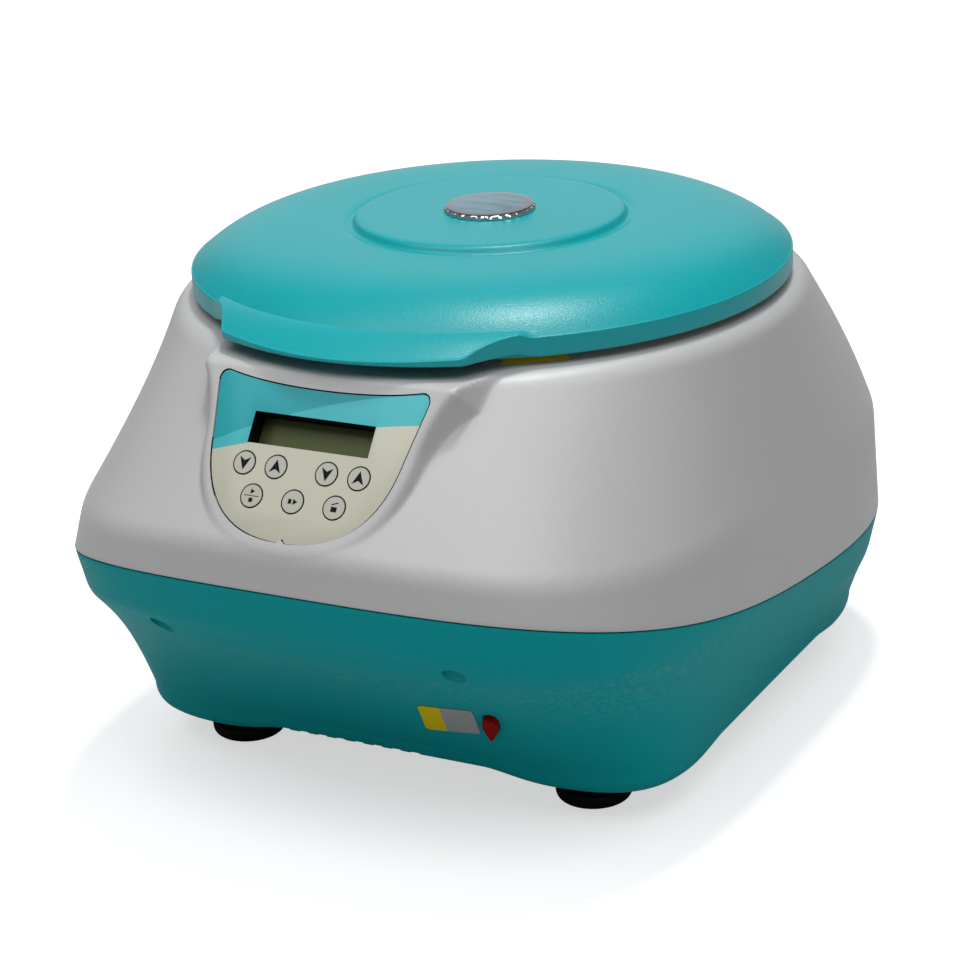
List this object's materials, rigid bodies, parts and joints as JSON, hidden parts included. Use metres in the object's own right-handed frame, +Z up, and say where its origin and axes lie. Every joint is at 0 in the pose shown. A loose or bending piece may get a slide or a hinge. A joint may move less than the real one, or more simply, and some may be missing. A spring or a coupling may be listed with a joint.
{
  "type": "bench centrifuge",
  "caption": "Bench centrifuge with a round domed lid over an angle rotor, a sloping membrane panel with display, and an undercut base on rubber feet.",
  "frame": {"origin": "on the bench, under the middle of the body's length and width", "axes": "+Z up, front and control panel towards -Y, +X to the right of a user"},
  "size_m": [0.341, 0.412, 0.2621],
  "materials": {
    "pearl": "pearl grey moulded plastic with a fine sparkle",
    "turquoise": "satin turquoise plastic",
    "base": "deep turquoise plastic",
    "liner": "off-white plastic",
    "steel": "brushed",
    "sheet": "zinc grey sheet",
    "alloy": "machined",
    "chrome": "polished",
    "clear": "clear window",
    "rubber": "black rubber",
    "black": "black plastic",
    "membrane": "printed film, beige below and turquoise above",
    "olive": "olive display",
    "board": "circuit board",
    "red": "red plastic",
    "copper": "wound copper"
  },
  "bodies": {
    "body": {"upper_housing": "pearl", "lower_housing": "base", "chamber_bowl": "steel", "bearing_top": "steel", "bearing_bottom": "steel", "hinge_bracket_left": "steel", "hinge_bracket_right": "steel", "screw_front_left": "steel", "screw_front_right": "steel", "screw_rear_left": "steel", "screw_rear_right": "steel", "base_plate": "sheet", "motor_can": "sheet", "motor_plate": "sheet", "motor_end_cap": "alloy", "hinge_pin_left": "chrome", "hinge_pin_right": "chrome", "foot_front_left": "rubber", "foot_front_right": "rubber", "foot_rear_left": "rubber", "foot_rear_right": "rubber", "damper_rear": "rubber", "damper_left": "rubber", "damper_right": "rubber", "chamber_gasket": "rubber", "shaft_seal": "rubber", "lcd_bezel": "black", "lock_housing": "black", "rear_plate": "black", "power_inlet": "black", "fuse_holder": "black", "switch_body": "black", "panel_membrane": "membrane", "lcd_glass": "olive", "control_board": "board", "power_board": "board", "lock_solenoid": "copper"},
    "lid": {"lid_shell": "turquoise", "lid_liner": "liner", "window_ring": "chrome", "window_lens": "clear", "latch_hook": "steel", "hinge_arm_left": "steel", "hinge_arm_right": "steel"},
    "rotor_group": {"rotor": "alloy", "rotor_nut": "black", "drive_shaft": "steel", "motor_armature": "copper"},
    "switch_rocker": {"switch_rocker": "red"},
    "release_plug": {"release_plug": "red"},
    "lock_pawl": {"lock_pawl": "steel"},
    "key_time_down": {"key_time_down": "membrane"},
    "key_time_up": {"key_time_up": "membrane"},
    "key_speed_down": {"key_speed_down": "membrane"},
    "key_speed_up": {"key_speed_up": "membrane"},
    "key_start_stop": {"key_start_stop": "membrane"},
    "key_pulse": {"key_pulse": "membrane"},
    "key_lid_open": {"key_lid_open": "membrane"}
  },
  "joints": [
    {"name": "lid_hinge", "type": "hinge", "parent": "body", "child": "lid", "pos_m": [0, 0.179, 0.228], "axis": [-1, 0, 0], "range_deg": [0, 78]},
    {"name": "rotor_spin", "type": "hinge", "parent": "body", "child": "rotor_group", "pos_m": [0, 0.016, 0.122], "axis": [0, 0, 1], "continuous": true},
    {"name": "switch_rock", "type": "hinge", "parent": "body", "child": "switch_rocker", "pos_m": [0.047, 0.1998, 0.107], "axis": [-1, 0, 0], "range_deg": [0, 16]},
    {"name": "release_pull", "type": "slide", "parent": "body", "child": "release_plug", "axis": [0.0401, -0.7725, -0.6337], "range_m": [0, 0.012]},
    {"name": "pawl_slide", "type": "slide", "parent": "body", "child": "lock_pawl", "axis": [0, 1, 0], "range_m": [0, 0.007]},
    {"name": "press_time_down", "type": "slide", "parent": "body", "child": "key_time_down", "axis": [0, 0.7944, -0.6074], "range_m": [0, 0.0005], "stiffness_N_per_m": 1500},
    {"name": "press_time_up", "type": "slide", "parent": "body", "child": "key_time_up", "axis": [0, 0.7944, -0.6074], "range_m": [0, 0.0005], "stiffness_N_per_m": 1500},
    {"name": "press_speed_down", "type": "slide", "parent": "body", "child": "key_speed_down", "axis": [0, 0.7944, -0.6074], "range_m": [0, 0.0005], "stiffness_N_per_m": 1500},
    {"name": "press_speed_up", "type": "slide", "parent": "body", "child": "key_speed_up", "axis": [0, 0.7944, -0.6074], "range_m": [0, 0.0005], "stiffness_N_per_m": 1500},
    {"name": "press_start_stop", "type": "slide", "parent": "body", "child": "key_start_stop", "axis": [0, 0.7944, -0.6074], "range_m": [0, 0.0005], "stiffness_N_per_m": 1500},
    {"name": "press_pulse", "type": "slide", "parent": "body", "child": "key_pulse", "axis": [0, 0.7944, -0.6074], "range_m": [0, 0.0005], "stiffness_N_per_m": 1500},
    {"name": "press_lid_open", "type": "slide", "parent": "body", "child": "key_lid_open", "axis": [0, 0.7944, -0.6074], "range_m": [0, 0.0005], "stiffness_N_per_m": 1500}
  ]
}
